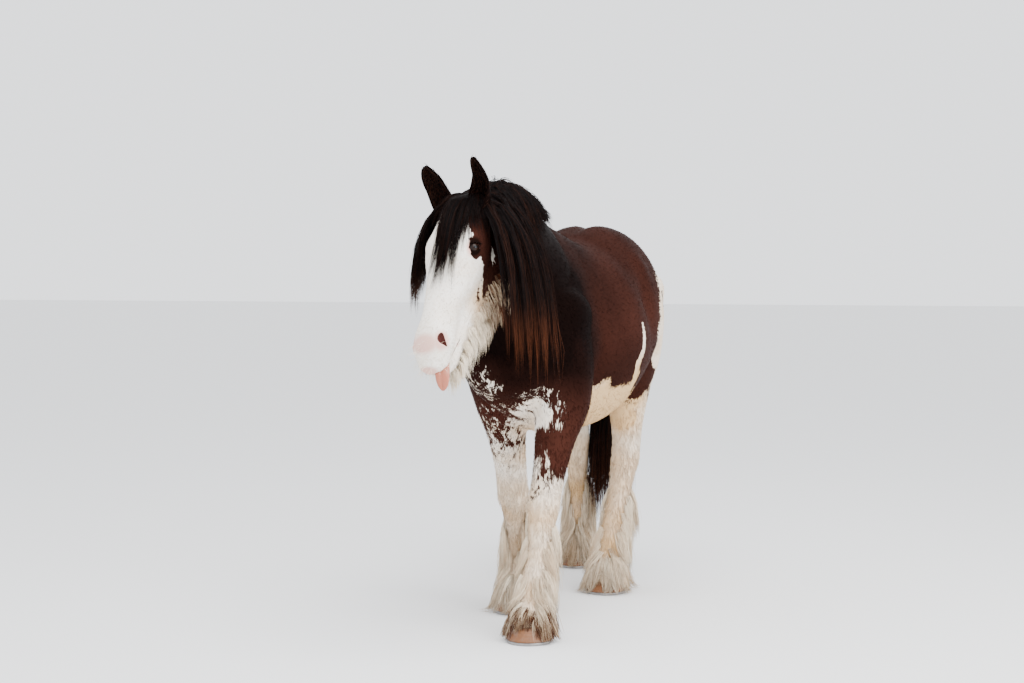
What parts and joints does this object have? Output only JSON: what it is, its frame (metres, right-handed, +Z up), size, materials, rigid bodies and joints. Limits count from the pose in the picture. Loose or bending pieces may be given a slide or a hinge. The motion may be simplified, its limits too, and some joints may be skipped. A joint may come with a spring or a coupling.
{
  "type": "heavy feathered draught horse, standing model",
  "caption": "Life-size standing heavy draught horse with a bald face, long mane, tongue out at the left and long feather bells over shod hooves.",
  "frame": {"origin": "middle of the bounding box on the floor plane, under the belly", "axes": "+Z up, +Y towards the tail, so the horse faces -Y and its left side is towards +X"},
  "size_m": [0.7308, 2.6992, 1.9063],
  "materials": {
    "head": "short white coat, black forelock, cream beard",
    "tongue": "moist pink flesh",
    "ear_left": "short black hair",
    "ear_right": "short black hair",
    "eye_left": "wet dark eye",
    "eye_right": "wet dark eye",
    "neck": "short dark coat, long black mane",
    "torso": "short dark mahogany coat with a sheen",
    "tail": "long black hair",
    "fore_left_upper": "short cream to red-brown coat",
    "fore_left_lower": "long cream feather hair",
    "fore_left_hoof": "dull pinkish tan horn",
    "fore_left_shoe": "worn, slightly rusty iron",
    "fore_right_upper": "short cream to red-brown coat",
    "fore_right_lower": "long cream feather hair",
    "fore_right_hoof": "dull pinkish tan horn",
    "fore_right_shoe": "worn, slightly rusty iron",
    "hind_left_upper": "short cream to red-brown coat",
    "hind_left_lower": "long cream feather hair",
    "hind_left_hoof": "dull pinkish tan horn",
    "hind_left_shoe": "worn, slightly rusty iron",
    "hind_right_upper": "short cream to red-brown coat",
    "hind_right_lower": "long cream feather hair",
    "hind_right_hoof": "dull pinkish tan horn",
    "hind_right_shoe": "worn, slightly rusty iron"
  },
  "bodies": {
    "root": {"head": "head", "tongue": "tongue", "ear_left": "ear_left", "ear_right": "ear_right", "eye_left": "eye_left", "eye_right": "eye_right", "neck": "neck", "torso": "torso", "tail": "tail", "fore_left_upper": "fore_left_upper", "fore_left_lower": "fore_left_lower", "fore_left_hoof": "fore_left_hoof", "fore_left_shoe": "fore_left_shoe", "fore_right_upper": "fore_right_upper", "fore_right_lower": "fore_right_lower", "fore_right_hoof": "fore_right_hoof", "fore_right_shoe": "fore_right_shoe", "hind_left_upper": "hind_left_upper", "hind_left_lower": "hind_left_lower", "hind_left_hoof": "hind_left_hoof", "hind_left_shoe": "hind_left_shoe", "hind_right_upper": "hind_right_upper", "hind_right_lower": "hind_right_lower", "hind_right_hoof": "hind_right_hoof", "hind_right_shoe": "hind_right_shoe"}
  },
  "joints": []
}
